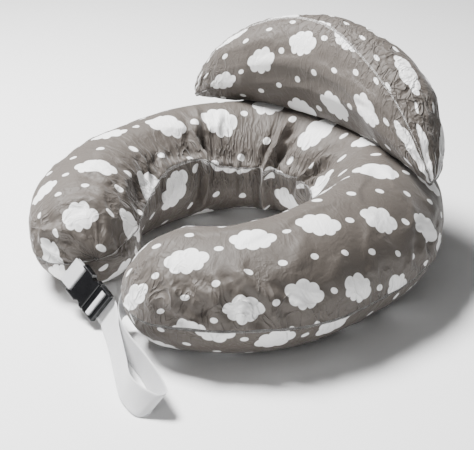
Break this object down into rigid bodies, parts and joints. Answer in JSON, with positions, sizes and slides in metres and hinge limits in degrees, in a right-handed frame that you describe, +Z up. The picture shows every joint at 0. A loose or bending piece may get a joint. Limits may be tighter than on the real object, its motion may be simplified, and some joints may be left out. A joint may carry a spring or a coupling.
{
  "type": "nursing pillow",
  "caption": "U-shaped stuffed nursing pillow with a half-moon bolster standing on its back and a buckled webbing strap across the front gap.",
  "frame": {"origin": "on the floor under the middle of the whole object's box", "axes": "+Z up, +Y towards the back of the ring, where the bolster stands, +X towards the arm that the strap is sewn to"},
  "size_m": [0.5688, 0.6407, 0.3338],
  "materials": {
    "printed_cotton": "printed cotton, taupe ground with white cloud shapes and dots",
    "lining": "plain woven lining",
    "fibre_filling": "polyester fibre",
    "webbing": "smooth white webbing",
    "zip_tape": "woven tape",
    "zip_coil": "nylon coil",
    "zip_metal": "satin zinc alloy",
    "hook_and_loop": "hook-and-loop tape",
    "buckle_plastic": "glossy black acetal"
  },
  "bodies": {
    "pillow": {"ring_cover_upper": "printed_cotton", "ring_cover_lower": "printed_cotton", "ring_inner_casing": "lining", "ring_filling": "fibre_filling", "ring_zip_tapes": "zip_tape", "ring_zip_coil": "zip_coil", "ring_zip_stops": "zip_metal", "hook_patches": "hook_and_loop", "socket_webbing": "webbing", "buckle_socket": "buckle_plastic", "strap_webbing": "webbing"},
    "ring_slider": {"ring_zip_slider": "zip_metal"},
    "ring_pull": {"ring_zip_pull": "zip_metal"},
    "bolster_patches": {"loop_patches": "hook_and_loop"},
    "bolster": {"bolster_cover_front": "printed_cotton", "bolster_cover_back": "printed_cotton", "bolster_inner_casing": "lining", "bolster_filling": "fibre_filling", "bolster_zip_tapes": "zip_tape", "bolster_zip_coil": "zip_coil", "bolster_zip_stops": "zip_metal"},
    "bolster_slider": {"bolster_zip_slider": "zip_metal"},
    "bolster_pull": {"bolster_zip_pull": "zip_metal"},
    "plug": {"buckle_plug": "buckle_plastic", "adjuster_webbing": "webbing"},
    "arm_upper": {"release_arm_upper": "buckle_plastic"},
    "arm_lower": {"release_arm_lower": "buckle_plastic"}
  },
  "joints": [
    {"name": "bolster_lift", "type": "slide", "parent": "pillow", "child": "bolster_patches", "axis": [0, 0, 1], "range_m": [0, 0.2]},
    {"name": "bolster_lean", "type": "hinge", "parent": "bolster_patches", "child": "bolster", "pos_m": [0, 0.2307, 0.1754], "axis": [-1, 0, 0], "range_deg": [0, 30]},
    {"name": "ring_zip_run", "type": "hinge", "parent": "pillow", "child": "ring_slider", "pos_m": [0, 0.0337, 0.066], "axis": [0, 0, 1], "range_deg": [-70, 0]},
    {"name": "ring_pull_swing", "type": "hinge", "parent": "ring_slider", "child": "ring_pull", "pos_m": [-0.1666, 0.27163, 0.066], "axis": [0.8192, 0.5736, 0], "range_deg": [0, 100]},
    {"name": "bolster_zip_run", "type": "hinge", "parent": "bolster", "child": "bolster_slider", "pos_m": [0, -0.1693, 0.2154], "axis": [0, 0, 1], "range_deg": [-20.4, 0]},
    {"name": "bolster_pull_swing", "type": "hinge", "parent": "bolster_slider", "child": "bolster_pull", "pos_m": [-0.07812, 0.26486, 0.2154], "axis": [0.9842, 0.1771, 0], "range_deg": [0, 100]},
    {"name": "buckle_release", "type": "slide", "parent": "pillow", "child": "plug", "axis": [0.9164, 0, -0.4003], "range_m": [0, 0.034], "deforming": ["strap_webbing"]},
    {"name": "upper_arm_press", "type": "hinge", "parent": "plug", "child": "arm_upper", "pos_m": [-0.00013, -0.22793, 0.04819], "axis": [0.2062, -0.8572, 0.472], "range_deg": [0, 6], "stiffness_Nm_per_rad": 0.05, "springref_deg": -2.86},
    {"name": "lower_arm_press", "type": "hinge", "parent": "plug", "child": "arm_lower", "pos_m": [-0.00994, -0.24267, 0.02573], "axis": [-0.2062, 0.8572, -0.472], "range_deg": [0, 6], "stiffness_Nm_per_rad": 0.05, "springref_deg": -2.86}
  ],
  "couplings": [
    {"joint": "lower_arm_press", "follows": "upper_arm_press", "ratio": 1}
  ]
}
